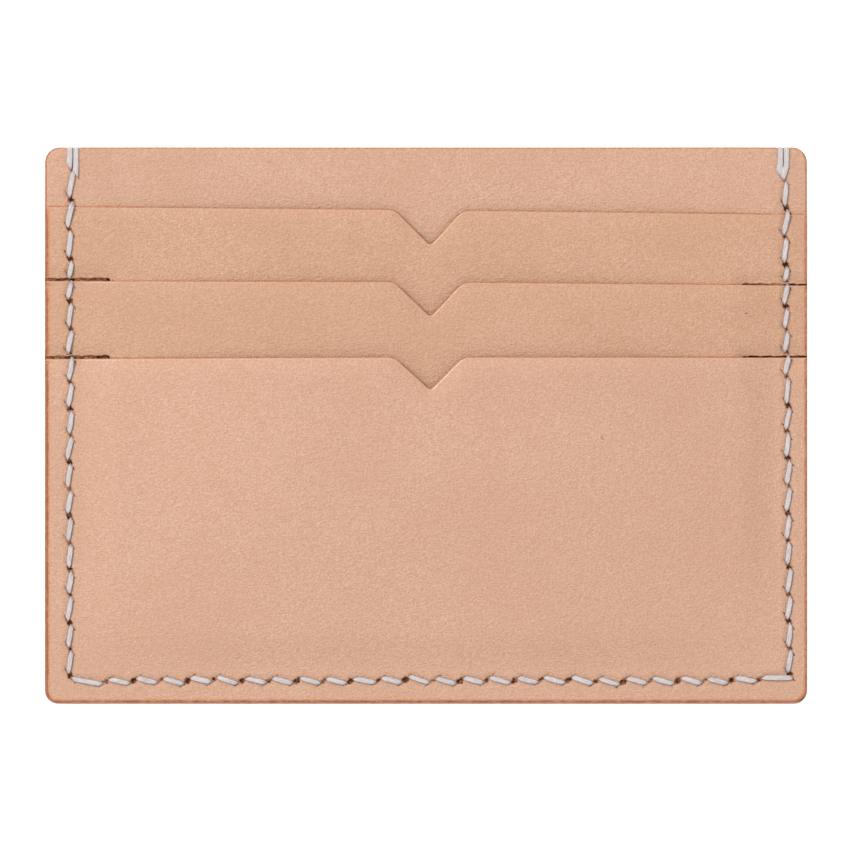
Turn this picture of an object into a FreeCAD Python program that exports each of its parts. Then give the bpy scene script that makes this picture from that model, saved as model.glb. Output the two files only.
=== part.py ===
import FreeCAD, Part
import math
import os
import Sketcher
from FreeCAD import Vector

# Flat leather card holder, lying on its back with its front face up.
# X runs across the width, +Y points to the pocket mouths, +Z comes out of the front face.
# The origin is the middle of the back face, on the surface that the holder lies on.
# From back to front: back panel, centre panel, upper T pocket, lower T pocket, front pocket.
# The two T pockets are T-shaped: two ears reach the side seams, and a stem hangs down behind
# the pocket below and is sewn to the centre panel at its foot. The lower T pocket bends up from
# its ears to its middle, so the ears are solids of their own that meet the middle face to face.

DIMENSIONS = [
    ("holder_width", 101.6, "overall width"),
    ("holder_height", 74.2, "overall height, top edge to bottom edge"),
    ("corner_radius", 2.0, "outer corners of the panels"),
    ("back_leather", 1.0, "leather thickness of the back panel"),
    ("centre_leather", 0.8, "leather thickness of the centre panel"),
    ("tab_leather", 0.6, "leather thickness of the two T pockets"),
    ("front_leather", 0.8, "leather thickness of the front pocket"),
    ("card_gap", 0.8, "depth of each card slot, for a card 0.76 thick"),
    ("centre_gap", 0.4, "depth of the centre pocket between back and centre panel"),
    ("rim_inner", 46.4, "distance from the middle at which the sewn rim ends"),
    ("slot_half_width", 44.6, "half width of the flat slots, for a card 85.6 wide"),
    ("rim_bottom", -32.6, "height at which the sewn bottom rim ends"),
    ("slot_bottom", -30.8, "height of the flat slots' lower end"),
    ("upper_mouth", 28.9, "height of the upper T pocket's mouth"),
    ("lower_mouth", 19.2, "height of the lower T pocket's mouth"),
    ("front_mouth", 9.05, "height of the front pocket's mouth"),
    ("ear_gap", 0.3, "gap between the ears that meet at the side seams"),
    ("stem_width", 84.2, "width of the T pockets' stems"),
    ("upper_stem_end", -21.5, "height of the upper stem's sewn end"),
    ("lower_stem_end", -28.0, "height of the lower stem's sewn end"),
    ("stem_foot", 2.5, "length of the foot that lies on the centre panel"),
    ("stem_ramp", 2.0, "length of the slope above the foot"),
    ("notch_middle", 0.67, "sideways place of the V notches"),
    ("notch_half_width", 4.8, "half width of a V notch at the mouth"),
    ("notch_depth", 4.45, "depth of a V notch"),
    ("notch_shoulder", 1.5, "radius where a notch meets the mouth"),
    ("notch_tip", 0.45, "radius at the tip of a notch"),
    ("left_inset", 3.5, "left seam to the left edge"),
    ("right_inset", 2.7, "right seam to the right edge"),
    ("bottom_inset", 3.15, "bottom seam to the bottom edge"),
    ("corner_inset", 3.8, "corner holes to the bottom edge"),
    ("left_top_inset", 3.2, "first hole of the left seam to the top edge"),
    ("right_top_inset", 4.15, "last hole of the right seam to the top edge"),
    ("side_stitches", 19, "stitches in each side seam"),
    ("long_stitches", 3, "long stitches at the top of each side seam"),
    ("long_stitch", 3.88, "length of those"),
    ("left_short_stitches", 2, "short stitches by the lower mouth, left seam"),
    ("left_short_stitch", 2.9, "length of those"),
    ("right_short_stitches", 1, "short stitches by the lower mouth, right seam"),
    ("right_short_stitch", 2.3, "length of those"),
    ("right_medium_stitches", 4, "medium stitches below them, right seam"),
    ("right_medium_stitch", 3.15, "length of those"),
    ("bottom_stitches", 26, "stitches in the bottom seam"),
    ("first_bottom_stitch", 4.8, "length of the bottom seam's stitch at the left corner"),
    ("last_bottom_stitch", 4.0, "length of the bottom seam's stitch at the right corner"),
    ("stem_stitches", 22, "stitches in each stem's seam"),
    ("stem_seam_inset", 1.2, "stem seam to the end of the stem"),
    ("stem_seam_side", 3.1, "end of the stem seam to the side of the stem"),
    ("slit_length", 2.4, "length of an awl slit"),
    ("slit_width", 0.55, "width of an awl slit"),
    ("slit_angle", 35.0, "angle between an awl slit and its seam"),
    ("thread_width", 0.8, "width of the flattened thread on the front"),
    ("thread_back_width", 0.44, "width of the tighter thread on the back"),
    ("thread_depth", 0.3, "thickness of the flattened thread"),
    ("thread_leg", 0.3, "thread inside a slit, both ways across"),
    ("leg_spacing", 0.6, "leg of thread to the middle of its slit"),
    ("wrap_spacing", 0.45, "thread over the top edge to the middle of its slit"),
]

# Heights of the faces above the resting plane, as expressions of the sheet's cells.
# The T pockets' ears and the front pocket's rim all lie on the centre panel's rim.
CENTRE_FLOOR = "(dims.back_leather + dims.centre_gap)"
CENTRE_FACE = "(dims.back_leather + dims.centre_gap + dims.centre_leather)"
EAR_PLANE = "(dims.back_leather + dims.centre_gap + dims.centre_leather + dims.card_gap)"
CENTRE_RIM = "(dims.back_leather + dims.centre_gap + dims.card_gap)"
BACK_RIM = "(dims.centre_gap + dims.card_gap)"
LOWER_FLOOR = "(" + EAR_PLANE + " + dims.tab_leather + dims.card_gap)"
FRONT_FLOOR = "(" + LOWER_FLOOR + " + dims.tab_leather + dims.card_gap)"

doc = FreeCAD.newDocument("card_holder")
sheet = doc.addObject("Spreadsheet::Sheet", "dims")


def fill_sheet():
    """One row per driving dimension: its meaning, its value and the value's alias."""
    for row, (alias, value, meaning) in enumerate(DIMENSIONS, start=1):
        sheet.set("A%d" % row, meaning)
        sheet.set("B%d" % row, str(value))
        sheet.setAlias("B%d" % row, alias)
    doc.recompute()


def worth(expression):
    """The present value of an expression of the sheet's cells."""
    return float(sheet.evalExpression(str(expression).replace("dims.", "")))


def new_body(label):
    body = doc.addObject("PartDesign::Body", label + "_body")
    body.Label = label + " body"
    return body


def polygon(body, label, role, corners, lift="0"):
    """A closed sketch on one of the body's own planes, every corner bound to the sheet."""
    sketch = body.newObject("Sketcher::SketchObject", label)
    plane = next(item for item in body.Origin.OriginFeatures if item.Role == role)
    sketch.AttachmentSupport = [(plane, "")]
    sketch.MapMode = "FlatFace"
    sketch.setExpression("AttachmentOffset.Base.z", lift)
    points = [Vector(worth(across), worth(along), 0) for across, along in corners]
    count = len(points)
    for start in range(count):
        sketch.addGeometry(Part.LineSegment(points[start], points[(start + 1) % count]))
    for start in range(count):
        sketch.addConstraint(
            Sketcher.Constraint("Coincident", start, 2, (start + 1) % count, 1)
        )
    for start, (across, along) in enumerate(corners):
        for kind, expression in (("DistanceX", across), ("DistanceY", along)):
            index = sketch.addConstraint(
                Sketcher.Constraint(kind, -1, 1, start, 1, worth(expression))
            )
            sketch.setExpression("Constraints[%d]" % index, expression)
    return sketch


def rectangle(left, right, low, high):
    return [(left, low), (right, low), (right, high), (left, high)]


def pad(body, label, sketch, length, both_ways=False):
    feature = body.newObject("PartDesign::Pad", label)
    feature.Profile = sketch
    if both_ways:
        feature.SideType = "Symmetric"
    feature.setExpression("Length", length)
    doc.recompute()
    return feature


def loft(body, label, kind, first, second):
    feature = body.newObject("PartDesign::" + kind, label)
    feature.Profile = first
    feature.Sections = [second]
    feature.Ruled = True
    doc.recompute()
    return feature


def round_edges(body, label, places, radius):
    """Round the edges that stand upright at the given places."""
    base = body.Tip
    names = []
    for number, edge in enumerate(base.Shape.Edges, start=1):
        ends = [vertex.Point for vertex in edge.Vertexes]
        if len(ends) != 2:
            continue
        for across, along in places:
            corner = Vector(worth(across), worth(along), 0)
            if all(math.hypot(end.x - corner.x, end.y - corner.y) < 1e-4 for end in ends):
                names.append("Edge%d" % number)
    feature = body.newObject("PartDesign::Fillet", label)
    feature.Base = (base, names)
    feature.setExpression("Radius", radius)
    doc.recompute()
    return feature


def cut_notch(body, name, mouth, top_face):
    """A V notch in the middle of a pocket's mouth, with a rounded tip and shoulders."""
    tip = mouth + " - dims.notch_depth"
    left = "dims.notch_middle - dims.notch_half_width"
    right = "dims.notch_middle + dims.notch_half_width"
    sketch = polygon(
        body,
        name + "_notch_outline",
        "XY_Plane",
        [(left, mouth), (right, mouth), ("dims.notch_middle", tip)],
        top_face,
    )
    before = body.Shape.Volume
    feature = body.newObject("PartDesign::Pocket", name + "_notch")
    feature.Profile = sketch
    feature.Type = "ThroughAll"
    doc.recompute()
    if body.Shape.Volume >= before:
        raise RuntimeError("the notch of " + name + " cuts nothing")
    round_edges(body, name + "_notch_tip", [("dims.notch_middle", tip)], "dims.notch_tip")
    round_edges(
        body, name + "_notch_shoulders", [(left, mouth), (right, mouth)], "dims.notch_shoulder"
    )


def pan_panel(name, leather, rim, floor, top, round_top):
    """A panel whose sewn rim runs round three sides and whose middle lies on another level.

    The rim's lower face is at rim and the middle's lower face at floor. There is no rim at
    the top, so that the space over or under the middle is a slot with an open mouth."""
    body = new_body(name)
    side = "dims.holder_width / 2"
    bottom = "-dims.holder_height / 2"
    outline = polygon(
        body, name + "_outline", "XY_Plane", rectangle("-" + side, side, bottom, top), rim
    )
    pad(body, name + "_rim", outline, leather)
    outer = rectangle("-dims.rim_inner", "dims.rim_inner", "dims.rim_bottom", top)
    inner = rectangle("-dims.slot_half_width", "dims.slot_half_width", "dims.slot_bottom", top)
    upper_side = " + " + leather
    bulge_side, hollow_side = (upper_side, "") if worth(floor) > worth(rim) else ("", upper_side)
    for kind, part, side_of in (
        ("AdditiveLoft", "bulge", bulge_side),
        ("SubtractiveLoft", "hollow", hollow_side),
    ):
        first = polygon(body, name + "_%s_rim" % part, "XY_Plane", outer, rim + side_of)
        second = polygon(body, name + "_%s_floor" % part, "XY_Plane", inner, floor + side_of)
        loft(body, name + "_" + part, kind, first, second)
    corners = [("-" + side, bottom), (side, bottom)]
    if round_top:
        corners += [("-" + side, top), (side, top)]
    round_edges(body, name + "_corners", corners, "dims.corner_radius")
    return body


def back_panel():
    top = "dims.holder_height / 2"
    return pan_panel("back_panel", "dims.back_leather", BACK_RIM, "0", top, True)


def centre_panel():
    top = "dims.holder_height / 2"
    return pan_panel("centre_panel", "dims.centre_leather", CENTRE_RIM, CENTRE_FLOOR, top, True)


def front_pocket():
    body = pan_panel(
        "front_pocket", "dims.front_leather", EAR_PLANE, FRONT_FLOOR, "dims.front_mouth", False
    )
    cut_notch(body, "front_pocket", "dims.front_mouth", FRONT_FLOOR + " + dims.front_leather")
    return body


def stem(body, name, floor, high, end):
    """A stem seen from the side: flat, then sloping down to a foot on the centre panel."""
    foot = end + " + dims.stem_foot"
    knee = foot + " + dims.stem_ramp"
    profile = polygon(
        body,
        name + "_stem_side",
        "YZ_Plane",
        [
            (end, CENTRE_FACE),
            (foot, CENTRE_FACE),
            (knee, floor),
            (high, floor),
            (high, floor + " + dims.tab_leather"),
            (knee, floor + " + dims.tab_leather"),
            (foot, CENTRE_FACE + " + dims.tab_leather"),
            (end, CENTRE_FACE + " + dims.tab_leather"),
        ],
    )
    pad(body, name + "_stem", profile, "dims.stem_width", both_ways=True)


def upper_t_pocket():
    """The ears and the stem lie in one plane, on the centre panel's rim."""
    name = "upper_t_pocket"
    body = new_body(name)
    ear_low = "dims.lower_mouth + dims.ear_gap"
    side = "dims.holder_width / 2"
    ears = polygon(
        body,
        name + "_ears_outline",
        "XY_Plane",
        rectangle("-" + side, side, ear_low, "dims.upper_mouth"),
        EAR_PLANE,
    )
    pad(body, name + "_ears", ears, "dims.tab_leather")
    stem(body, name, EAR_PLANE, ear_low, "dims.upper_stem_end")
    cut_notch(body, name, "dims.upper_mouth", EAR_PLANE + " + dims.tab_leather")
    return body


def lower_t_pocket():
    """The middle and the stem, which lie over the upper T pocket's stem."""
    name = "lower_t_pocket"
    body = new_body(name)
    ear_low = "dims.front_mouth + dims.ear_gap"
    middle = polygon(
        body,
        name + "_middle_outline",
        "XY_Plane",
        rectangle("-dims.slot_half_width", "dims.slot_half_width", ear_low, "dims.lower_mouth"),
        LOWER_FLOOR,
    )
    pad(body, name + "_middle", middle, "dims.tab_leather")
    stem(body, name, LOWER_FLOOR, ear_low, "dims.lower_stem_end")
    cut_notch(body, name, "dims.lower_mouth", LOWER_FLOOR + " + dims.tab_leather")
    return body


def lower_ear(name, sign):
    """An ear of the lower T pocket: it lies on the rim and slopes up to meet the middle."""
    body = new_body(name)
    under = [
        (sign + "dims.holder_width / 2", EAR_PLANE),
        (sign + "dims.rim_inner", EAR_PLANE),
        (sign + "dims.slot_half_width", LOWER_FLOOR),
    ]
    over = [(across, height + " + dims.tab_leather") for across, height in reversed(under)]
    section = polygon(body, name + "_section", "XZ_Plane", under + over, "-dims.lower_mouth")
    pad(body, name + "_length", section, "dims.lower_mouth - dims.front_mouth - dims.ear_gap")
    return body


class Hole:
    """An awl slit: its middle, the way it runs, and the surfaces that its thread lies on.

    Where a seam turns a corner, the thread that leaves the hole on the back crosses over
    the one that comes in, and crossed says so."""

    def __init__(self, across, along, slit_turn, front, back):
        self.middle = Vector(across, along, 0)
        turn = math.radians(slit_turn)
        self.run = Vector(math.cos(turn), math.sin(turn), 0)
        self.front = front
        self.back = back
        self.crossed = False

    def end(self, sign):
        """The leg of thread at one end of the slit; sign is +1 or -1 along its run."""
        return self.middle + self.run * (sign * worth("dims.leg_spacing"))


def rim_front(along):
    """Height of the front surface of the side rim, which steps at the mouths."""
    if along > worth("dims.upper_mouth"):
        return worth(EAR_PLANE)
    if along > worth("dims.front_mouth"):
        return worth(EAR_PLANE + " + dims.tab_leather")
    return worth(EAR_PLANE + " + dims.front_leather")


def stitch_ends(start, finish, groups, count):
    """Places from start to finish: each group's stitches in turn, then even ones."""
    places = [start]
    way = math.copysign(1.0, finish - start)
    for stitches, length in groups:
        for number in range(int(worth(stitches))):
            places.append(places[-1] + way * worth(length))
    spare = count + 1 - len(places)
    even = (finish - places[-1]) / spare
    last = places[-1]
    return places + [last + even * (number + 1) for number in range(spare)]


def perimeter_holes():
    """Down the left side, along the bottom and up the right side.

    A side slit runs down to the right and a bottom slit up to the right, so that each
    hole's run points from the stitch before it to the stitch after it on the left side."""
    half_width = worth("dims.holder_width / 2")
    half_height = worth("dims.holder_height / 2")
    left = -half_width + worth("dims.left_inset")
    right = half_width - worth("dims.right_inset")
    corner = -half_height + worth("dims.corner_inset")
    row = -half_height + worth("dims.bottom_inset")
    angle = worth("dims.slit_angle")
    back = worth(BACK_RIM)
    sides = int(worth("dims.side_stitches"))
    bottoms = int(worth("dims.bottom_stitches"))
    left_places = stitch_ends(
        half_height - worth("dims.left_top_inset"),
        corner,
        [
            ("dims.long_stitches", "dims.long_stitch"),
            ("dims.left_short_stitches", "dims.left_short_stitch"),
        ],
        sides,
    )
    right_places = stitch_ends(
        half_height - worth("dims.right_top_inset"),
        corner,
        [
            ("dims.long_stitches", "dims.long_stitch"),
            ("dims.right_short_stitches", "dims.right_short_stitch"),
            ("dims.right_medium_stitches", "dims.right_medium_stitch"),
        ],
        sides,
    )
    bottom_places = stitch_ends(
        left, right - worth("dims.last_bottom_stitch"), [("1", "dims.first_bottom_stitch")],
        bottoms - 1,
    )
    holes = []
    for along in left_places:
        holes.append(Hole(left, along, angle - 90, rim_front(along), back))
    for across in bottom_places[1:]:
        holes.append(Hole(across, row, angle, rim_front(row), back))
    for along in reversed(right_places):
        holes.append(Hole(right, along, angle + 90, rim_front(along), back))
    holes[sides].crossed = True
    holes[sides + bottoms - 1].crossed = True
    return holes


def stem_holes(end):
    """The row of holes that holds a stem's foot to the centre panel."""
    reach = worth("dims.stem_width / 2 - dims.stem_seam_side")
    count = int(worth("dims.stem_stitches"))
    along = worth(end + " + dims.stem_seam_inset")
    front = worth(CENTRE_FACE + " + dims.tab_leather")
    back = worth(CENTRE_FLOOR)
    angle = worth("dims.slit_angle")
    places = [-reach + 2 * reach * number / count for number in range(count + 1)]
    return [Hole(across, along, angle, front, back) for across in places]


def turned_box(middle, run, length, width, low, high):
    """An upright box with its long side along run."""
    box = Part.makeBox(length, width, high - low, Vector(-length / 2, -width / 2, low))
    turn = math.degrees(math.atan2(run.y, run.x))
    box.rotate(Vector(0, 0, 0), Vector(0, 0, 1), turn)
    box.translate(Vector(middle.x, middle.y, 0))
    return box


def slit_cutters(name, holes):
    """One box for each slit, long enough to pass through every layer at that hole."""
    length = worth("dims.slit_length")
    width = worth("dims.slit_width")
    reach = worth("dims.card_gap")
    boxes = [
        turned_box(hole.middle, hole.run, length, width, hole.back - reach, hole.front + reach)
        for hole in holes
    ]
    cutters = doc.addObject("Part::Feature", name)
    cutters.Label = name.replace("_", " ")
    cutters.Shape = Part.makeCompound(boxes)
    return cutters


def running_bar(start, finish, low, width):
    """A flat length of thread from one leg to another, with its lower face at low."""
    length = (finish - start).Length + worth("dims.thread_leg")
    high = low + worth("dims.thread_depth")
    return turned_box((start + finish) / 2, finish - start, length, width, low, high)


def strand(holes, first_span_in_front):
    """One of the two threads of a saddle stitch, as one solid.

    It passes through every hole and lies by turns on the front and on the back. It goes
    into a hole at the end of the slit that faces the hole before, and comes out at the
    end that faces the hole after."""
    leg = worth("dims.thread_leg")
    depth = worth("dims.thread_depth")
    pieces = []
    in_front = first_span_in_front
    for before, after in zip(holes, holes[1:]):
        start = before.end(+1 if in_front else -1)
        finish = after.end(-1 if in_front else +1)
        if in_front:
            low = max(before.front, after.front)
            width = worth("dims.thread_width")
        else:
            low = before.back - depth * (2 if before.crossed else 1)
            width = worth("dims.thread_back_width")
        pieces.append(running_bar(start, finish, low, width))
        for hole, place in ((before, start), (after, finish)):
            bottom = (hole.back - depth if in_front else low) + depth / 2
            top = (low if in_front else hole.front) + depth / 2
            pieces.append(turned_box(place, hole.run, leg, leg, bottom, top))
        in_front = not in_front
    return pieces


def top_wrap(hole, sign):
    """Thread from a top hole over the top edge and down the back to the same hole."""
    leg = worth("dims.thread_leg")
    depth = worth("dims.thread_depth")
    width = worth("dims.thread_width")
    back_width = worth("dims.thread_back_width")
    edge = worth("dims.holder_height / 2")
    leg_place = hole.end(sign)
    spacing = math.copysign(worth("dims.wrap_spacing"), leg_place.x - hole.middle.x)
    start = Vector(hole.middle.x + spacing, leg_place.y, 0)
    finish = Vector(start.x, edge + depth - leg / 2, 0)
    rise = hole.front - hole.back + 2 * depth
    over = Part.makeBox(
        width, depth, rise, Vector(start.x - width / 2, edge, hole.back - depth)
    )
    low = hole.back - depth / 2
    high = hole.front + depth / 2
    return [
        running_bar(start, finish, hole.front, width),
        running_bar(start, finish, hole.back - depth, back_width),
        over,
        turned_box(leg_place, hole.run, leg, leg, low, high),
    ]


def thread_part(label, pieces):
    feature = doc.addObject("Part::Feature", label)
    feature.Label = label
    feature.Shape = pieces[0].multiFuse(pieces[1:]).removeSplitter()
    feature.Placement = FreeCAD.Placement()
    return feature


def pierced(label, body, cutters):
    feature = doc.addObject("Part::Cut", label)
    feature.Label = label
    feature.Base = body
    feature.Tool = cutters
    return feature


def build():
    fill_sheet()
    rim = perimeter_holes()
    upper_row = stem_holes("dims.upper_stem_end")
    lower_row = stem_holes("dims.lower_stem_end")
    all_slits = slit_cutters("all_awl_slits", rim + upper_row + lower_row)
    rim_slits = slit_cutters("rim_awl_slits", rim)
    upper_slits = slit_cutters("upper_pocket_awl_slits", rim + upper_row)
    lower_slits = slit_cutters("lower_pocket_awl_slits", lower_row)
    panels = [
        pierced("back_panel", back_panel(), rim_slits),
        pierced("centre_panel", centre_panel(), all_slits),
        pierced("upper_t_pocket", upper_t_pocket(), upper_slits),
        pierced("lower_t_pocket", lower_t_pocket(), lower_slits),
        pierced("lower_t_pocket_left_ear", lower_ear("left_ear", "-"), rim_slits),
        pierced("lower_t_pocket_right_ear", lower_ear("right_ear", ""), rim_slits),
        pierced("front_pocket", front_pocket(), rim_slits),
    ]
    first = strand(rim, True) + top_wrap(rim[0], +1) + top_wrap(rim[-1], +1)
    second = strand(rim, False) + top_wrap(rim[0], -1) + top_wrap(rim[-1], -1)
    threads = [
        thread_part("seam_thread_first_strand", first),
        thread_part("seam_thread_second_strand", second),
        thread_part("upper_pocket_thread", strand(upper_row, True)),
        thread_part("lower_pocket_thread", strand(lower_row, True)),
    ]
    doc.recompute()
    return panels + threads


def write(parts):
    """Check every object and every sub-part, then write one file for each."""
    for item in doc.Objects:
        if "Invalid" in item.State or "Error" in item.State:
            raise RuntimeError(item.Label + " failed to compute")
    for part in parts:
        if part.Shape.isNull() or not part.Shape.isValid() or len(part.Shape.Solids) != 1:
            raise RuntimeError(part.Label + " is not one valid solid")
    os.makedirs("parts", exist_ok=True)
    for part in parts:
        part.Shape.exportStep("parts/%s.step" % part.Label)
        box = part.Shape.BoundBox
        print(
            "%-26s volume %8.2f  x %7.2f %6.2f  y %7.2f %6.2f  z %5.2f %5.2f"
            % (part.Label, part.Shape.Volume, box.XMin, box.XMax, box.YMin, box.YMax,
               box.ZMin, box.ZMax)
        )


write(build())
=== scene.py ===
import math

import bmesh
import bpy
import numpy as np
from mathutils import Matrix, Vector
from mathutils.geometry import delaunay_2d_cdt
from mathutils.kdtree import KDTree


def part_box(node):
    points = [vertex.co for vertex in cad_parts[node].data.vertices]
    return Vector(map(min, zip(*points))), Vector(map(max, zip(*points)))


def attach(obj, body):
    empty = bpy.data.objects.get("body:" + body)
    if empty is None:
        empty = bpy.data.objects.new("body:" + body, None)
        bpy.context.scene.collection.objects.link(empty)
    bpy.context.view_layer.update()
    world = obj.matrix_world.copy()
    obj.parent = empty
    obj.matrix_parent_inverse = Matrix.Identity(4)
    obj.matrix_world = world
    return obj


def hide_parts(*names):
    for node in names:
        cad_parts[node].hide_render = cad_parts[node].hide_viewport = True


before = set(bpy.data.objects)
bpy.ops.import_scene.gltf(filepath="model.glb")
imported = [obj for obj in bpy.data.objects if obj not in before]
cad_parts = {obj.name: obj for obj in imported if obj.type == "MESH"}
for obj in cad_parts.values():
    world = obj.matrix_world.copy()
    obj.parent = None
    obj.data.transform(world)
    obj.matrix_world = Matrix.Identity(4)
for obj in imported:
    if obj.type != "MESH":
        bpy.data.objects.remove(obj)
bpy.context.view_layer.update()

# A flat leather card holder that lies on its back: X across, +Y to the mouths, +Z out of the
# front. Shapes are worked out in millimetres and become metres when a mesh is made.
MM = 0.001


def node_box(node):
    """A CAD node's lowest and highest corner, in millimetres."""
    low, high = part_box(node)
    return np.array(low) / MM, np.array(high) / MM


HALF_WIDTH, HALF_HEIGHT = node_box("centre_panel")[1][:2]
EAR_PLANE = node_box("front_pocket")[0][2]

# Leather thickness of each panel
BACK_LEATHER = 1.0
CENTRE_LEATHER = 0.8
TAB_LEATHER = 0.6
FRONT_LEATHER = 0.8

# Every pocket mouth drops by this much near the left side.
MOUTH_DROP = 0.18
MOUTH_DROP_START = 44.0
MOUTH_DROP_LENGTH = 5.0

# Gaps under the ears, left and right. They are narrower beside the stem.
UPPER_EAR_GAPS = (0.24, 0.09)
LOWER_EAR_GAPS = (0.28, 0.15)
LEFT_INNER_GAP = 0.7
RIGHT_INNER_GAP = 0.5

# Stems: half width, length of the foot that lies on the centre panel, and of the ramp above it
STEM_HALF_WIDTH = 42.1
STEM_FOOT = 2.5
STEM_RAMP = 2.0
STEM_CLEARANCE = 0.02
UPPER_STEM_END = node_box("upper_t_pocket")[0][1]
LOWER_STEM_END = node_box("lower_t_pocket")[0][1]

# Notches: a V with rounded shoulders and tip, a little wider on its left
NOTCH_MIDDLE = 0.58
NOTCH_LEFT_WIDTH = 4.8
NOTCH_RIGHT_WIDTH = 4.3
NOTCH_SHOULDER = 2.2
NOTCH_TIP = 0.45

# Radii of the corners, and how wavy the ears' lower edges are cut
TOP_CORNER = 2.0
BOTTOM_CORNER = 1.8
EAR_CORNER = 0.25
EAR_ARMPIT = 0.3
STEM_CORNER = 1.0
EAR_WAVE = 1.2

# Seams. Both start a little further in at their tops, and the right one leans out downwards.
LEFT_SEAM = -HALF_WIDTH + 3.45
LEFT_TOP_DRIFT = 0.3
RIGHT_SEAM = HALF_WIDTH - 2.7
RIGHT_LEAN = -0.007
RIGHT_TOP_DRIFT = -0.28
BOTTOM_SEAM = -HALF_HEIGHT + 3.15
CORNER_HOLE = -HALF_HEIGHT + 3.8
LEFT_TOP_HOLE = HALF_HEIGHT - 3.2
RIGHT_TOP_HOLE = HALF_HEIGHT - 4.15
SIDE_STITCHES = 19
BOTTOM_STITCHES = 26
STEM_STITCHES = 22

# Stitches of uneven length, as (how many, how long), from the top down; the rest are even
LEFT_GROUPS = ((3, 3.88), (2, 2.9))
RIGHT_GROUPS = ((3, 3.88), (1, 2.3), (4, 3.15))
FIRST_BOTTOM_STITCH = 4.8
LAST_BOTTOM_STITCH = 4.0

STEM_SEAM_INSET = 1.2
STEM_SEAM_SIDE = 3.1

# Slits: their lean off the seam, and how much they differ in place, turn, length and gape. Every
# other slit gapes wide, and the legs of thread in the others are closer together.
SLIT_ANGLE = 35.0
SLIT_HALF_LENGTH = 1.28
HOLE_WOBBLE = 0.06
STEM_HOLE_WOBBLE = 0.02
SLIT_TURN_WOBBLE = 3.0
SLIT_LENGTHS = (0.9, 1.22)
SMALL_GAPES = (0.35, 0.6)
WIDE_GAPES = (0.85, 1.15)
SIDE_LEG_SPACING = 0.50
BOTTOM_LEG_SPACING = 0.68
CLOSE_LEGS = 0.86

# At the top holes, three threads share a slit: the end of the seam's own stitch, and the two
# wraps. Each lies this far along the slit from its middle, counted down to the right.
LEFT_TOP_STITCH = 0.15
RIGHT_TOP_STITCH = 0.72
LEFT_WRAP_FEET = (-0.80, 0.60)
RIGHT_WRAP_FEET = (-0.90, -0.22)

# Thread
THREAD_WIDTH = 0.69
BACK_THREAD_WIDTH = 0.50
THREAD_DEPTH = 0.36
THREAD_LIFT = 0.07
WRAP_SPACING = 0.40
WRAP_BITE = 0.20
WRAP_WIDTH = 0.76
THREAD_SIDES = 24

# Edges: how far the burnished rim is rounded in on each side, and the bevel of a cut mouth
LEFT_ROUNDING = 0.72
RIGHT_ROUNDING = 0.30
BOTTOM_ROUNDING = 0.64
TOP_ROUNDING = 0.22
MOUTH_BEVEL = 0.28

# Leather is pared down to this share of its thickness along its mouths.
PARED_SHARE = 0.50
PARED_WIDTH = 2.0

# The panels bulge: flat beside a seam, then a short rise and a long one.
FLAT_BY_SEAM = 1.0
SHORT_RISE_SHARE = 0.30
SHORT_RISE = 6.0
LONG_RISE = 30.0

# Spacing of the points along an outline, and of the finest lattice inside it
OUTLINE_STEP = 0.25
LATTICE = 0.1

# A distance for "nowhere near"
FAR = 9.0

random = np.random.default_rng(27)


def smoothstep(value):
    """From 0 to 1 as a value goes from 0 to 1, level at both ends."""
    value = np.clip(value, 0.0, 1.0)
    return value * value * (3.0 - 2.0 * value)


def bell(value, other=0.0):
    """1 at 0, and nearly 0 at 2. With two values, a round hill."""
    return np.exp(-(value ** 2) - other ** 2)


class Mouth:
    """A pocket's mouth: how it lies over the CAD pocket's top, its slope and notch depth."""

    def __init__(self, node, over, slope, notch_depth):
        self.middle = node_box(node)[1][1] + over
        self.slope = slope
        self.notch_depth = notch_depth

    def line(self, x):
        drop = MOUTH_DROP * smoothstep((-x - MOUTH_DROP_START) / MOUTH_DROP_LENGTH)
        return self.middle + self.slope * x - drop


UPPER_MOUTH = Mouth("upper_t_pocket", -0.16, -0.0125, 4.70)
LOWER_MOUTH = Mouth("lower_t_pocket", -0.11, -0.0078, 4.60)
FRONT_MOUTH = Mouth("front_pocket", 0.02, 0.0, 4.35)
MOUTHS = (UPPER_MOUTH, LOWER_MOUTH, FRONT_MOUTH)
MOUTH_SPACING = UPPER_MOUTH.middle - LOWER_MOUTH.middle


# ---- heights of the layers

def rise(distance):
    """From 0 at a seam to 1 in the middle: a short low rise, then a long gentle one."""
    start, low, long = distance - FLAT_BY_SEAM, SHORT_RISE_SHARE, 1.0 - SHORT_RISE_SHARE
    return low * smoothstep(start / SHORT_RISE) + long * smoothstep(start / LONG_RISE)


def full_bulge(x, y):
    """How far the panels bulge at a place: 0 at the seams and 1 in the middle."""
    return rise(x - LEFT_SEAM) * rise(RIGHT_SEAM - x) * rise(y - BOTTOM_SEAM)


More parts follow.
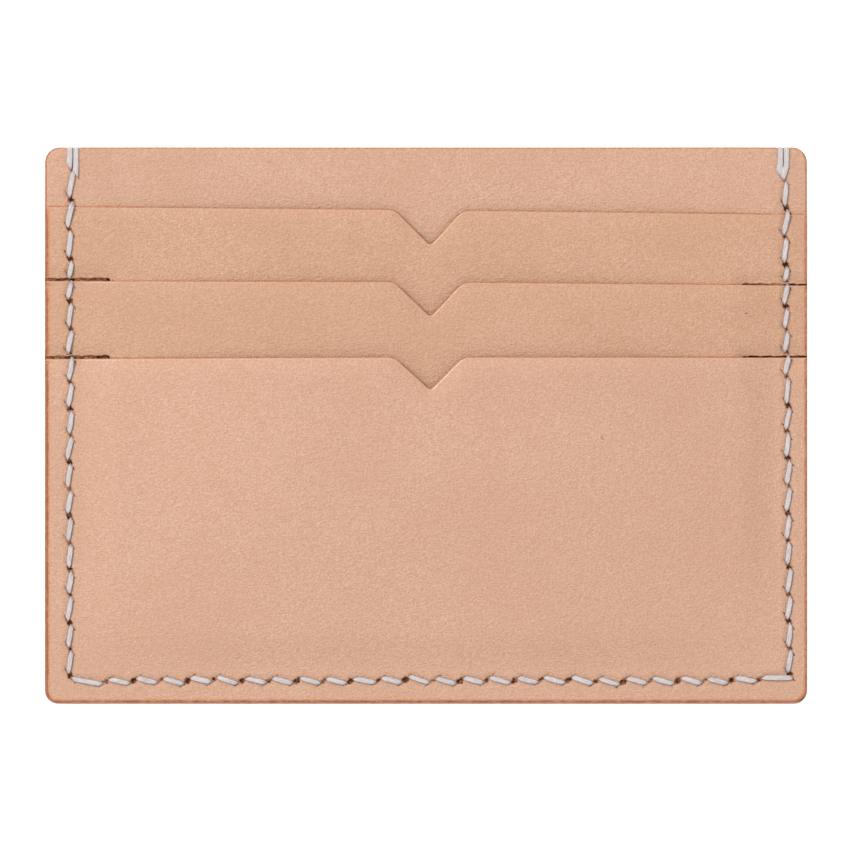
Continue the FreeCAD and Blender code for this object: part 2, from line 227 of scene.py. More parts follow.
def lower_faces():
    """For each panel, the height of its lower face over any place."""
    def bulging(rim, middle):
        def face(x, y):
            return rim + (middle - rim) * full_bulge(x, y)
        return face

    def with_foot(pocket, end):
        """A pocket whose stem comes down at its foot to lie on the centre panel."""
        def face(x, y):
            weight = smoothstep((y - (end + STEM_FOOT)) / STEM_RAMP)
            foot = centre(x, y) + CENTRE_LEATHER + STEM_CLEARANCE
            return foot + (pocket(x, y) - foot) * weight
        return face

    back_low, back_high = node_box("back_panel")
    centre_low, centre_high = node_box("centre_panel")
    lower_middle = node_box("lower_t_pocket")[1][2] - TAB_LEATHER
    front_middle = node_box("front_pocket")[1][2] - FRONT_LEATHER
    centre = bulging(centre_high[2] - CENTRE_LEATHER, centre_low[2])
    return {
        "back_panel": bulging(back_high[2] - BACK_LEATHER, back_low[2]),
        "centre_panel": centre,
        "upper_t_pocket": with_foot(bulging(EAR_PLANE, EAR_PLANE), UPPER_STEM_END),
        "lower_t_pocket": with_foot(bulging(EAR_PLANE, lower_middle), LOWER_STEM_END),
        "front_pocket": bulging(EAR_PLANE, front_middle),
    }


LOWER_FACE = lower_faces()


def rim_top(x, y):
    """Height of the topmost leather along the sewn rim, which steps at the mouths."""
    top = np.full(np.shape(x), EAR_PLANE)
    top = np.where(y < UPPER_MOUTH.line(x), EAR_PLANE + TAB_LEATHER, top)
    return np.where(y < FRONT_MOUTH.line(x), EAR_PLANE + FRONT_LEATHER, top)


# ---- seams

class Hole:
    """An awl slit. Its run points from the stitch before it to the stitch after it."""

    def __init__(self, x, y, turn, leg_spacing, wobble=HOLE_WOBBLE):
        self.middle = np.array([x, y]) + random.normal(0.0, wobble, 2)
        turn = math.radians(turn + random.normal(0.0, SLIT_TURN_WOBBLE))
        self.run = np.array([math.cos(turn), math.sin(turn)])
        self.leg_spacing = leg_spacing
        self.reach = SLIT_HALF_LENGTH * random.uniform(*SLIT_LENGTHS, 2)
        self.gape = random.uniform(*SMALL_GAPES)

    def end(self, sign):
        """Where a leg of thread comes through: +1 is towards the stitch after, -1 before."""
        return self.middle + self.run * (sign * self.leg_spacing)

    def along_and_across(self, x, y):
        """How far places lie from the slit's middle, along it and across it."""
        offset_x = x - self.middle[0]
        offset_y = y - self.middle[1]
        along = offset_x * self.run[0] + offset_y * self.run[1]
        return along, offset_y * self.run[0] - offset_x * self.run[1]


def stitch_ends(start, finish, groups, count):
    """Places from start to finish: each group's stitches in turn, then even ones."""
    places = [start]
    way = math.copysign(1.0, finish - start)
    for stitches, length in groups:
        for _ in range(stitches):
            places.append(places[-1] + way * length)
    spare = count + 1 - len(places)
    return places + list(np.linspace(places[-1], finish, spare + 1)[1:])


def left_seam(y):
    return LEFT_SEAM + LEFT_TOP_DRIFT * smoothstep((y - HALF_HEIGHT + 10.0) / 8.0)


def right_seam(y):
    top = RIGHT_TOP_DRIFT * smoothstep((y - HALF_HEIGHT + 8.0) / 4.0)
    return RIGHT_SEAM + RIGHT_LEAN * y + top


def perimeter_holes():
    """Down the left side, along the bottom and up the right side."""
    left = stitch_ends(LEFT_TOP_HOLE, CORNER_HOLE, LEFT_GROUPS, SIDE_STITCHES)
    right = stitch_ends(RIGHT_TOP_HOLE, CORNER_HOLE, RIGHT_GROUPS, SIDE_STITCHES)
    bottom = stitch_ends(
        left_seam(CORNER_HOLE),
        right_seam(CORNER_HOLE) - LAST_BOTTOM_STITCH,
        ((1, FIRST_BOTTOM_STITCH),),
        BOTTOM_STITCHES - 1,
    )
    side, row = SIDE_LEG_SPACING, BOTTOM_LEG_SPACING
    holes = [Hole(left_seam(y), y, SLIT_ANGLE - 90.0, side) for y in left]
    holes += [Hole(x, BOTTOM_SEAM, SLIT_ANGLE, row) for x in bottom[1:]]
    holes += [Hole(right_seam(y), y, SLIT_ANGLE + 90.0, side) for y in reversed(right)]
    for hole in holes[::2]:
        hole.leg_spacing *= CLOSE_LEGS
    for hole in holes[1::2]:
        hole.gape = random.uniform(*WIDE_GAPES)
    holes[0].leg_spacing = LEFT_TOP_STITCH
    holes[-1].leg_spacing = RIGHT_TOP_STITCH
    return holes


def stem_holes(end):
    """Along the foot of a stem, from left to right."""
    reach = STEM_HALF_WIDTH - STEM_SEAM_SIDE
    y = end + STEM_SEAM_INSET
    places = np.linspace(-reach, reach, STEM_STITCHES + 1)
    return [Hole(x, y, SLIT_ANGLE, BOTTOM_LEG_SPACING, STEM_HOLE_WOBBLE) for x in places]


RIM_HOLES = perimeter_holes()


def segment_distance(x, y, start, finish):
    step = finish - start
    share = ((x - start[0]) * step[0] + (y - start[1]) * step[1]) / (step @ step)
    share = np.clip(share, 0.0, 1.0)
    return np.hypot(x - start[0] - step[0] * share, y - start[1] - step[1] * share)


def wavy(value, phase):
    return 0.04 * np.sin(value * 5.1 + phase) + 0.03 * np.sin(value * 11.7 + phase * 2.3)


# The groove that thread presses in, and the pucker beside it
GROOVE_DEPTH = 0.08
GROOVE_WIDTH = 0.55
PUCKER_HEIGHT = 0.04
PUCKER_AWAY = 0.95
PUCKER_WIDTH = 0.30

# A slit's cut, its gape, the dimple and the lips round it; their darknesses are painted shade.
# Sizes are along and across the slit.
CUT_DEPTH = 0.15
CUT_DARKNESS = 0.85
GAPE_DEPTH = 0.14
GAPE_DARKNESS = 1.45
GAPE_SIZE = (0.44, 0.36)
DIMPLE_DEPTH = 0.08
DIMPLE_SIZE = (1.0, 0.45)
LIP_HEIGHT = 0.05
LIP_AWAY = 0.42
LIP_SIZE = (0.8, 0.16)


def seam_marks(x, y, front):
    """How the seam shapes the leather: height change, and how dark each place is, as painted shade.

    Thread presses a groove, the leather puckers beside it, and each slit is a crooked
    crack that gapes at its middle and tapers to its two ends."""
    height = np.zeros(x.shape)
    dark = np.zeros(x.shape)
    groove = np.full(x.shape, FAR)
    first, second = (+1, -1) if front else (-1, +1)
    for before, after in zip(RIM_HOLES, RIM_HOLES[1:]):
        reach = segment_distance(x, y, before.end(first), after.end(second))
        groove = np.minimum(groove, reach)
    height -= GROOVE_DEPTH * bell(groove / GROOVE_WIDTH)
    height += PUCKER_HEIGHT * bell((groove - PUCKER_AWAY) / PUCKER_WIDTH)
    for number, hole in enumerate(RIM_HOLES):
        near = np.nonzero((x - hole.middle[0]) ** 2 + (y - hole.middle[1]) ** 2 < 4.0)[0]
        along, across = hole.along_and_across(x[near], y[near])
        across = across + wavy(along, number)
        share = np.abs(along) / np.where(along > 0.0, hole.reach[1], hole.reach[0])
        width = 0.05 + 0.10 * np.clip(1.0 - share, 0.0, 1.0) * (0.6 + hole.gape)
        cut = bell(across / width) * (1.0 - smoothstep((share - 0.85) / 0.2))
        gape = bell(along / GAPE_SIZE[0], across / GAPE_SIZE[1]) * hole.gape
        dimple = bell(along / DIMPLE_SIZE[0], across / DIMPLE_SIZE[1])
        lip = bell(along / LIP_SIZE[0], (np.abs(across) - LIP_AWAY) / LIP_SIZE[1])
        height[near] += (
            LIP_HEIGHT * lip - CUT_DEPTH * cut - GAPE_DEPTH * gape - DIMPLE_DEPTH * dimple
        )
        # Painted shade: the slit's crack and gape are darkened, and the dimple round it a little.
        shade = np.maximum(CUT_DARKNESS * cut * (1.0 - 0.25 * share), GAPE_DARKNESS * gape)
        dark[near] = np.maximum(dark[near], np.clip(shade, 0.0, 1.0))
        dark[near] = np.maximum(dark[near], (0.14 + 0.12 * hole.gape) * dimple)
    return (height if front else -height), dark


# ---- outlines

def rounded_outline(corners):
    """A closed outline through corners (x, y, radius), each rounded by an arc."""
    count = len(corners)
    points = []
    arcs = []
    for index, (x, y, radius) in enumerate(corners):
        here = np.array([x, y])
        before = np.array(corners[index - 1][:2]) - here
        after = np.array(corners[(index + 1) % count][:2]) - here
        before /= np.hypot(*before)
        after /= np.hypot(*after)
        opening = math.acos(np.clip(before @ after, -1.0, 1.0))
        reach = radius / math.tan(opening / 2.0)
        middle = here + (before + after) / np.hypot(*(before + after)) * (
            radius / math.sin(opening / 2.0)
        )
        start = here + before * reach - middle
        finish = here + after * reach - middle
        turn = math.atan2(start[0] * finish[1] - start[1] * finish[0], start @ finish)
        steps = max(4, int(abs(turn) * radius / (OUTLINE_STEP * 0.6)))
        first = math.atan2(start[1], start[0])
        angles = first + turn * np.linspace(0.0, 1.0, steps + 1)
        arcs.append(middle + radius * np.stack([np.cos(angles), np.sin(angles)], axis=1))
    for index, arc in enumerate(arcs):
        points.extend(arc)
        gap = arcs[(index + 1) % count][0] - arc[-1]
        steps = max(1, int(np.hypot(*gap) / OUTLINE_STEP))
        points.extend(arc[-1] + gap * share for share in np.arange(1, steps) / steps)
    return np.array(points)


def notch(mouth):
    """A mouth's V notch from right to left."""
    left = NOTCH_MIDDLE - NOTCH_LEFT_WIDTH
    right = NOTCH_MIDDLE + NOTCH_RIGHT_WIDTH
    return [
        (right, mouth.line(right), NOTCH_SHOULDER),
        (NOTCH_MIDDLE, mouth.line(NOTCH_MIDDLE) - mouth.notch_depth, NOTCH_TIP),
        (left, mouth.line(left), NOTCH_SHOULDER),
    ]


def full_outline():
    return rounded_outline([
        (-HALF_WIDTH, -HALF_HEIGHT, BOTTOM_CORNER),
        (HALF_WIDTH, -HALF_HEIGHT, BOTTOM_CORNER),
        (HALF_WIDTH, HALF_HEIGHT, TOP_CORNER),
        (-HALF_WIDTH, HALF_HEIGHT, TOP_CORNER),
    ])


def front_outline():
    return rounded_outline([
        (-HALF_WIDTH, -HALF_HEIGHT, BOTTOM_CORNER),
        (HALF_WIDTH, -HALF_HEIGHT, BOTTOM_CORNER),
        (HALF_WIDTH, FRONT_MOUTH.line(HALF_WIDTH), EAR_CORNER),
        *notch(FRONT_MOUTH),
        (-HALF_WIDTH, FRONT_MOUTH.line(-HALF_WIDTH), EAR_CORNER),
    ])


def t_outline(mouth, mouth_below, ear_gaps, end):
    """A T pocket: ears between two mouths, and a stem that hangs down to end."""
    left_gap, right_gap = ear_gaps
    stem = STEM_HALF_WIDTH

    def under(x, gap):
        return mouth_below.line(x) + gap

    outline = rounded_outline([
        (-stem, end, STEM_CORNER),
        (stem, end, STEM_CORNER),
        (stem, under(stem, right_gap * RIGHT_INNER_GAP), EAR_ARMPIT),
        (HALF_WIDTH, under(HALF_WIDTH, right_gap), EAR_CORNER),
        (HALF_WIDTH, mouth.line(HALF_WIDTH), EAR_CORNER),
        *notch(mouth),
        (-HALF_WIDTH, mouth.line(-HALF_WIDTH), EAR_CORNER),
        (-HALF_WIDTH, under(-HALF_WIDTH, left_gap), EAR_CORNER),
        (-stem, under(-stem, left_gap * LEFT_INNER_GAP), EAR_ARMPIT),
    ])
    x, y = outline.T
    cut_edge = (np.abs(x) > stem + 0.4) & (y < under(x, 1.0)) & (np.abs(x) < HALF_WIDTH - 0.5)
    outline[:, 1] = y + np.where(cut_edge, EAR_WAVE * wavy(x * 0.6, mouth.middle), 0.0)
    return outline


UPPER_OUTLINE = t_outline(UPPER_MOUTH, LOWER_MOUTH, UPPER_EAR_GAPS, UPPER_STEM_END)
LOWER_OUTLINE = t_outline(LOWER_MOUTH, FRONT_MOUTH, LOWER_EAR_GAPS, LOWER_STEM_END)
FRONT_OUTLINE = front_outline()


# ---- leather meshes

def tree_of(targets):
    tree = KDTree(len(targets))
    for index, (x, y) in enumerate(targets):
        tree.insert((x, y, 0.0), index)
    tree.balance()
    return tree


def nearest(points, targets):
    """Distance from each point to the nearest target."""
    tree = tree_of(targets.tolist())
    return np.array([tree.find((x, y, 0.0))[2] for x, y in points.tolist()])


def inside(points, outline, chunk=4000):
    """Which points lie inside a closed outline."""
    x1, y1 = outline.T
    x2, y2 = np.roll(outline, -1, axis=0).T
    out = np.empty(len(points), bool)
    slope = (x2 - x1) / np.where(y2 == y1, 1e-12, y2 - y1)
    for start in range(0, len(points), chunk):
        x = points[start:start + chunk, 0:1]
        y = points[start:start + chunk, 1:2]
        crosses = ((y1 > y) != (y2 > y)) & (x < x1 + (y - y1) * slope)
        out[start:start + chunk] = crosses.sum(axis=1) % 2 == 1
    return out


def edge_distance(points):
    """Distance from the holder's own outline, for points on or inside it."""
    radius = np.where(points[:, 1] > 0.0, TOP_CORNER, BOTTOM_CORNER)
    across = np.abs(points[:, 0]) - (HALF_WIDTH - radius)
    along = np.abs(points[:, 1]) - (HALF_HEIGHT - radius)
    outside = np.hypot(np.maximum(across, 0.0), np.maximum(along, 0.0))
    return radius - outside - np.minimum(np.maximum(across, along), 0.0)


def rim_share(outline):
    """1 where the outline is the holder's sewn and burnished rim, 0 where it is a mouth."""
    return (edge_distance(outline) < 0.03).astype(float)


def softened(values, rounds=6):
    """Values round a closed outline, each blended with its neighbours."""
    for _ in range(rounds):
        values = (np.roll(values, 1) + 2.0 * values + np.roll(values, -1)) / 4.0
    return values


def rounding_in(height, x, y, inward):
    """How far the burnished rim is rounded in at a height: a half round over the stack.

    Each side has its own rounding, and the thin rim above the pockets has the least."""
    low = node_box("back_panel")[1][2] - BACK_LEATHER
    high = softened(rim_top(x * 0.97, y))
    middle = (low + high) / 2.0
    share = np.clip((height - middle) / ((high - low) / 2.0 + 0.02), -1.0, 1.0)
    most = (
        LEFT_ROUNDING * np.maximum(inward[:, 0], 0.0) ** 2
        + RIGHT_ROUNDING * np.maximum(-inward[:, 0], 0.0) ** 2
        + BOTTOM_ROUNDING * np.maximum(inward[:, 1], 0.0) ** 2
        + TOP_ROUNDING * np.maximum(-inward[:, 1], 0.0) ** 2
    )
    thick = (high - low) / (EAR_PLANE + FRONT_LEATHER - low)
    uneven = 1.0 + 0.05 * np.sin(x * 0.9 + y * 0.7) + 0.04 * np.sin(x * 2.3 - y * 1.9)
    return most * uneven * thick ** 2 * (1.0 - np.sqrt(1.0 - share ** 2))


def rim_dye(x, y):
    """How strongly the rim is dyed: most down the sides, and least along the bottom."""
    sides = smoothstep((np.abs(x) - HALF_WIDTH + 1.5) / 1.0)
    bottom = smoothstep((1.5 - HALF_HEIGHT - y) / 1.0)
    return 1.0 + 0.13 * sides - 0.15 * bottom


def rim_reach(x, y):
    """How far the burnishing shows in from the rim: least at the right and the top."""
    left = LEFT_ROUNDING * smoothstep((LEFT_SEAM - x) / 2.0)
    right = RIGHT_ROUNDING * smoothstep((x - RIGHT_SEAM) / 2.0)
    bottom = BOTTOM_ROUNDING * smoothstep((BOTTOM_SEAM - y) / 2.0)
    covered = smoothstep((UPPER_MOUTH.line(x) - y) / 0.5)
    return np.maximum(np.maximum(left, right) * covered, bottom)


def pared(places, mouth_points, leather):
    """Thickness of a panel at some places: full, and less along its mouths."""
    if not len(mouth_points):
        return np.full(len(places), leather)
    whole = smoothstep(nearest(places, mouth_points) / PARED_WIDTH)
    return leather * (PARED_SHARE + (1.0 - PARED_SHARE) * whole)


def wrap_dent(x, y):
    """How deep the thread that wraps over the top edge bites into it."""
    dent = np.zeros(np.shape(x))
    for hole in (RIM_HOLES[0], RIM_HOLES[-1]):
        for side in (-1.0, +1.0):
            reach = np.abs(x - hole.middle[0] - side * WRAP_SPACING)
            dent = np.maximum(dent, 1.0 - smoothstep((reach - 0.28) / 0.2))
    return WRAP_BITE * dent * (y > HALF_HEIGHT - 0.1)


def inward_normals(outline):
    along = np.roll(outline, -1, axis=0) - np.roll(outline, 1, axis=0)
    along /= np.hypot(along[:, 0], along[:, 1])[:, None]
    return np.stack([-along[:, 1], along[:, 0]], axis=1)


def seam_line_distance(x, y):
    side = np.minimum(np.abs(x - left_seam(y)), np.abs(x - right_seam(y)))
    bottom = np.abs(y - BOTTOM_SEAM)
    in_columns = y > BOTTOM_SEAM - 1.5
    return np.minimum(np.where(in_columns, side, FAR), bottom)


def mouth_distance(x, y):
    """Roughly how far each place is from the nearest mouth, its notch included."""
    away = np.full(np.shape(x), FAR)
    for mouth in MOUTHS:
        right, tip, left = (np.array(corner[:2]) for corner in notch(mouth))
        away = np.minimum(away, np.abs(y - mouth.line(x)))
        away = np.minimum(away, segment_distance(x, y, right, tip))
        away = np.minimum(away, segment_distance(x, y, tip, left))
    return away


def wanted_step(points, from_edge, detailed):
    """How fine the lattice has to be at each point, in lattice steps."""
    x, y = points.T
    step = np.full(len(points), 16)
    seam = seam_line_distance(x, y)
    step[seam < 7.5] = 8
    step[from_edge < 1.6] = 4
    if not detailed:
        return step
    step[seam < 2.2] = 4
    step[from_edge < 0.6] = 2
    step[mouth_distance(x, y) < 0.8] = 2
    step[seam < 1.6] = 2
    for hole in RIM_HOLES:
        along, across = hole.along_and_across(x, y)
        step[(np.abs(along) < SLIT_HALF_LENGTH + 0.3) & (np.abs(across) < 0.5)] = 1
    return step


def lattice_points(outline, ring, detailed, visible_above):
    """Points inside a ring, close together only where the surface needs them."""
    low = ring.min(axis=0)
    high = ring.max(axis=0)
    kept = []
    taken = set()
    for stride in (16, 8, 4, 2, 1):
        if stride < 8 and not detailed:
            break
        spacing = stride * LATTICE
        columns = np.arange(math.ceil(low[0] / spacing), math.floor(high[0] / spacing) + 1)
        rows = np.arange(math.ceil(low[1] / spacing), math.floor(high[1] / spacing) + 1)
        grid_x, grid_y = np.meshgrid(columns, rows, indexing="ij")
        cells = np.stack([grid_x.ravel(), grid_y.ravel()], axis=1) * stride
        points = cells * LATTICE + np.array([0.013, 0.017])
        if stride == 1:
            near = seam_line_distance(points[:, 0], points[:, 1]) < 1.8
            cells, points = cells[near], points[near]
        from_edge = nearest(points, outline)
        wanted = wanted_step(points, from_edge, detailed)
        wanted = np.where(points[:, 1] > visible_above, wanted, np.maximum(wanted, 8))
        fit = (wanted <= stride) & inside(points, ring)
        cells, points = cells[fit], points[fit]
        clear = nearest(points, ring) > 0.45 * min(spacing, OUTLINE_STEP)
        for cell, point in zip(cells[clear].tolist(), points[clear]):
            key = tuple(cell)
            if key not in taken:
                taken.add(key)
                kept.append(point)
    return np.array(kept)


def filled(ring, points):
    """Triangles over the ring and the points inside it: all places, and the faces."""
    places = np.concatenate([ring, points])
    result = delaunay_2d_cdt(
        [Vector(place) for place in places], [], [list(range(len(ring)))], 1, 1e-7
    )
    out_places = np.array([tuple(place) for place in result[0]])
    ring_index = np.zeros(len(ring), int)
    for index, sources in enumerate(result[3]):
        for source in sources:
            if source < len(ring):
                ring_index[source] = index
    return out_places, [list(face) for face in result[2]], ring_index


def make_mesh(name, vertices, faces, attributes):
    mesh = bpy.data.meshes.new(name)
    mesh.from_pydata((np.asarray(vertices) * MM).tolist(), [], faces)
    work = bmesh.new()
    work.from_mesh(mesh)
    bmesh.ops.recalc_face_normals(work, faces=work.faces)
    work.to_mesh(mesh)
    work.free()
    mesh.shade_smooth()
    for label, (kind, values) in attributes.items():
        layer = mesh.attributes.new(label, kind, "POINT")
        field = "vector" if kind == "FLOAT_VECTOR" else "value"
        layer.data.foreach_set(field, np.asarray(values, np.float32).ravel())
    piece = bpy.data.objects.new(name, mesh)
    bpy.context.scene.collection.objects.link(piece)
    return piece


def edge_rings(name, outline, leather):
    """Closed rings down a panel's edge, top to bottom, how burnished and how shiny each is.

    The sewn rim is rounded in as one stack, and a mouth has only a small bevel. Where the
    two meet, at the end of a mouth, a point moves in sideways with the rim's edge."""
    lower_face = LOWER_FACE[name]
    inward = inward_normals(outline)
    on_rim = rim_share(outline)
    thickness = pared(outline, outline[on_rim < 0.5], leather)
    side = np.sign(outline[:, 0])
    to_rim = smoothstep(1.0 - (HALF_WIDTH - np.abs(outline[:, 0])) / 2.5)
    dye = rim_dye(*outline.T)
    sideways = np.column_stack([-side, np.zeros(len(outline))])
    rings = []
    burnish_and_shade = []
    polish = []
    for level in (0.0, 0.04, 0.12, 0.24, 0.4, 0.6, 0.76, 0.88, 0.96, 1.0):
        height = lower_face(*outline.T) + thickness * (1.0 - level)
        from_top = level * thickness
        from_bottom = (1.0 - level) * thickness
        bevel = MOUTH_BEVEL * (
            (1.0 - np.clip(from_top / MOUTH_BEVEL, 0.0, 1.0)) ** 3
            + 0.5 * (1.0 - np.clip(from_bottom / MOUTH_BEVEL, 0.0, 1.0)) ** 2
        )
        rounded = rounding_in(height, *outline.T, inward)
        beside = rounding_in(height, *outline.T, sideways) * to_rim
        rounded = rounded + wrap_dent(*outline.T)
        shift = inward * (on_rim * rounded + (1.0 - on_rim) * bevel)[:, None]
        shift = shift + sideways * ((1.0 - on_rim) * beside)[:, None]
        place = outline + shift
        rings.append(np.column_stack([place, lower_face(*place.T) + thickness * (1.0 - level)]))
        rim_burnish = dye * (0.80 if level == 0.0 else 1.0)
        mouth_burnish = 0.85 * smoothstep(from_top / (MOUTH_BEVEL * 0.8))
        burnish_and_shade.append(mouth_burnish + (rim_burnish - mouth_burnish) * on_rim)
        polish.append((1.0 - on_rim) * (1.0 - smoothstep(from_top / (MOUTH_BEVEL * 0.6))))
    return rings, burnish_and_shade, polish


def shown_edge(outline, mouth_below):
    """The edges of a T pocket that show: its mouth, and its ears' lower edges."""
    above = outline[:, 1] > mouth_below.line(outline[:, 0]) - 0.05
    return outline[above & (rim_share(outline) < 0.5)]


# Painted shade beside the pocket edges: a brown tint where each edge's shade falls, and painted
# shadow in the gaps; how strong and how wide
MOUTH_SHADE_TINT = 0.45
SHADE_TINT_REACH = 0.26
GAP_SHADOW_DARKNESS = 1.35
GAP_REACH = 0.32
CLOSE_EAR_SHARE = 0.72

POCKET_EDGES = (
    shown_edge(UPPER_OUTLINE, LOWER_MOUTH),
    shown_edge(LOWER_OUTLINE, FRONT_MOUTH),
    FRONT_OUTLINE[rim_share(FRONT_OUTLINE) < 0.5],
)


def close_ear(x, y):
    """1 where the upper pocket's right ear lies close on the mouth below it, and 0 elsewhere."""
    inside_seam = (x > 0.0) * smoothstep((RIGHT_SEAM - x) / 0.8)
    return inside_seam * (y > LOWER_MOUTH.middle - 2.0)


def mouth_painted_shade(places):
    """Painted shade beside each pocket's edge: a brown tint where the edge's shade falls, and a
    dark gap.

    The gap under an ear, between the ear and the mouth below it, is darkest: painted shadow."""
    distances = []
    for edge, mouth in zip(POCKET_EDGES, MOUTHS):
        away = np.full(len(places), FAR)
        above = np.abs(places[:, 1] - mouth.line(places[:, 0]))
        near = np.nonzero(above < MOUTH_SPACING + 2.0)[0]
        away[near] = nearest(places[near], edge)
        distances.append(away)
    edge_shade = bell(np.minimum.reduce(distances) / SHADE_TINT_REACH)
    gap = np.zeros(len(places))
    for above, below in zip(distances, distances[1:]):
        gap = np.maximum(gap, bell(above / GAP_REACH, below / GAP_REACH))
    gap = gap * (1.0 - CLOSE_EAR_SHARE * close_ear(*places.T))
    return MOUTH_SHADE_TINT * edge_shade, GAP_SHADOW_DARKNESS * gap


def band(first, second):
    """Four-sided faces between two closed rings of vertices."""
    return np.stack([first, np.roll(first, -1), np.roll(second, -1), second], axis=1).tolist()


class Surface:
    """Vertices and faces as they gather, with each vertex's slit darkness, burnish and polish; the
    slit darkness and the burnish also carry painted shade.
    """

    def __init__(self):
        self.blocks = []
        self.faces = []
        self.count = 0

    def add(self, places, slit, burnish_and_shade, polish):
        """Add vertices and give back the number of the first."""
        self.blocks.append(np.column_stack([places, slit, burnish_and_shade, polish]))
        self.count += len(places)
        return self.count - len(places)

    def mesh(self, name):
        values = np.concatenate(self.blocks)
        labels = ("slit", "burnish_and_shade", "polish")
        attributes = {label: ("FLOAT", values[:, 3 + i]) for i, label in enumerate(labels)}
        return make_mesh(name, values[:, :3], self.faces, attributes)


def add_face(surface, name, outline, ring, side, leather, detailed, visible_above):
    """Add a sheet's upper (+1) or lower (-1) face, and give back its ring's vertices."""
    on_rim = rim_share(outline)
    points = lattice_points(outline, ring[:, :2], detailed, visible_above)
    places, triangles, ring_index = filled(ring[:, :2], points)
    x, y = places.T
    height = LOWER_FACE[name](x, y)
    from_edge = nearest(places, outline)
    slit = np.zeros(len(places))
    burnish_and_shade = 0.06 * bell(from_edge / 0.20)
    if side > 0:
        height = height + pared(places, outline[on_rim < 0.5], leather)
    if detailed:
        marks, slit = seam_marks(x, y, side > 0)
        height += marks - side * 0.05 * bell(from_edge / 0.35)
    if side > 0:
        # Painted shade beside the pocket edges above: a brown tint where their shade falls, and
        # painted shadow in the gaps under the ears.
        edge_shade, gap = mouth_painted_shade(places)
        burnish_and_shade = np.maximum(burnish_and_shade, edge_shade)
        slit = np.maximum(slit, gap)
    from_rim = nearest(places, outline[on_rim > 0.5])
    most = 1.10 - 0.50 * smoothstep((y - HALF_HEIGHT + 1.0) / 0.5)
    burnish_and_shade = np.maximum(burnish_and_shade, most * bell(from_rim / (0.30 + 0.5 * rim_reach(x, y))))
    polish = bell(from_edge / 0.12) * (side > 0)
    start = surface.add(np.column_stack([places, height]), slit, burnish_and_shade, polish)
    surface.faces.extend([start + corner for corner in face] for face in triangles)
    return start + ring_index


def leather_panel(name, outline, leather, upper_detail, lower_detail, visible_above, nodes):
    """A sheet of leather with rounded edges, over the panel's own lower face.

    Only the faces with detail are finely meshed, and only above visible_above."""
    surface = Surface()
    rings, burnish_and_shade, polish = edge_rings(name, outline, leather)
    upper, lower = (
        add_face(surface, name, outline, ring, side, leather, detailed, visible_above)
        for side, ring, detailed in ((+1, rings[0], upper_detail), (-1, rings[-1], lower_detail))
    )
    previous = upper
    for ring, ring_burnish, ring_polish in zip(rings[1:-1], burnish_and_shade[1:-1], polish[1:-1]):
        start = surface.add(ring, np.zeros(len(ring)), ring_burnish, ring_polish)
        current = start + np.arange(len(ring))
        surface.faces.extend(band(previous, current))
        previous = current
    surface.faces.extend(band(previous, lower))
    piece = surface.mesh(name + "_leather")
    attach(piece, "root")
    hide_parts(name, *nodes)
    return piece


# ---- thread meshes

RUN_SHARES = np.array([
    0.0, 0.02, 0.04, 0.06, 0.085, 0.11, 0.145, 0.19, 0.25, 0.33, 0.42, 0.5,
    0.58, 0.67, 0.75, 0.81, 0.855, 0.89, 0.915, 0.94, 0.96, 0.98, 1.0,
])


def taut(distances, heights):
    """The lowest line that stays on or over a row of heights, like a tight string."""
    hull = [0]
    for index in range(1, len(distances)):
        while len(hull) > 1:
            a, b = hull[-2], hull[-1]
            left = (heights[b] - heights[a]) * (distances[index] - distances[a])
            right = (heights[index] - heights[a]) * (distances[b] - distances[a])
            if left > right:
                break
            hull.pop()
        hull.append(index)
    return np.interp(distances, distances[hull], heights[hull])


def slant(slit, along, sideways):
    """How far a section leans along the thread so that it lies along its slit."""
    facing = slit @ sideways
    if abs(facing) < 0.35:
        return 0.0
    return float(np.clip((slit @ along) / facing, -1.4, 1.4))


def thread_run(before, after, sign, surface, width):
    """One length of thread on a face, from one slit to the next, as tube wants it.

    On the front its ends are cut off along the slits that it comes out of and goes into,
    so that it looks like a slanted bar; on the back it is pulled tight and narrower."""
    start, finish = before.end(sign), after.end(-sign)
    gap = finish - start
    length = np.hypot(*gap)
    direction = gap / length
    sideways = np.array([-direction[1], direction[0]])
    bow = random.normal(0.0, 0.03)
    places = start + gap * RUN_SHARES[:, None]
    places = places + sideways * (bow * np.sin(math.pi * RUN_SHARES))[:, None]
    along = RUN_SHARES * length
    base = sign * taut(along, sign * surface(*places.T))
    from_end = np.minimum(along, length - along)
    dip = bell(from_end / 0.17)
    swell = 0.06 * np.sin(math.pi * RUN_SHARES)
    heights = base + sign * (THREAD_LIFT + swell - (THREAD_LIFT + 0.50) * dip)
    slants = np.zeros(len(RUN_SHARES))
    if sign > 0:
        first = slant(before.run, direction, sideways)
        last = slant(after.run, direction, sideways)
        slants = first + (last - first) * smoothstep((RUN_SHARES - 0.1) / 0.8)
    widths = width * (1.0 + random.normal(0.0, 0.04)) * (0.70 + 0.30 * smoothstep(from_end / 0.9))
    level = sideways + direction * slants[:, None]
    across = np.column_stack([level * widths[:, None] / 2.0, np.zeros(len(level))])
    depths = THREAD_DEPTH * (0.85 + 0.15 * smoothstep(from_end / 0.8))
    creases = np.full(len(places), random.uniform(-0.45, 0.45))
    return np.column_stack([places, heights]), across, depths, creases


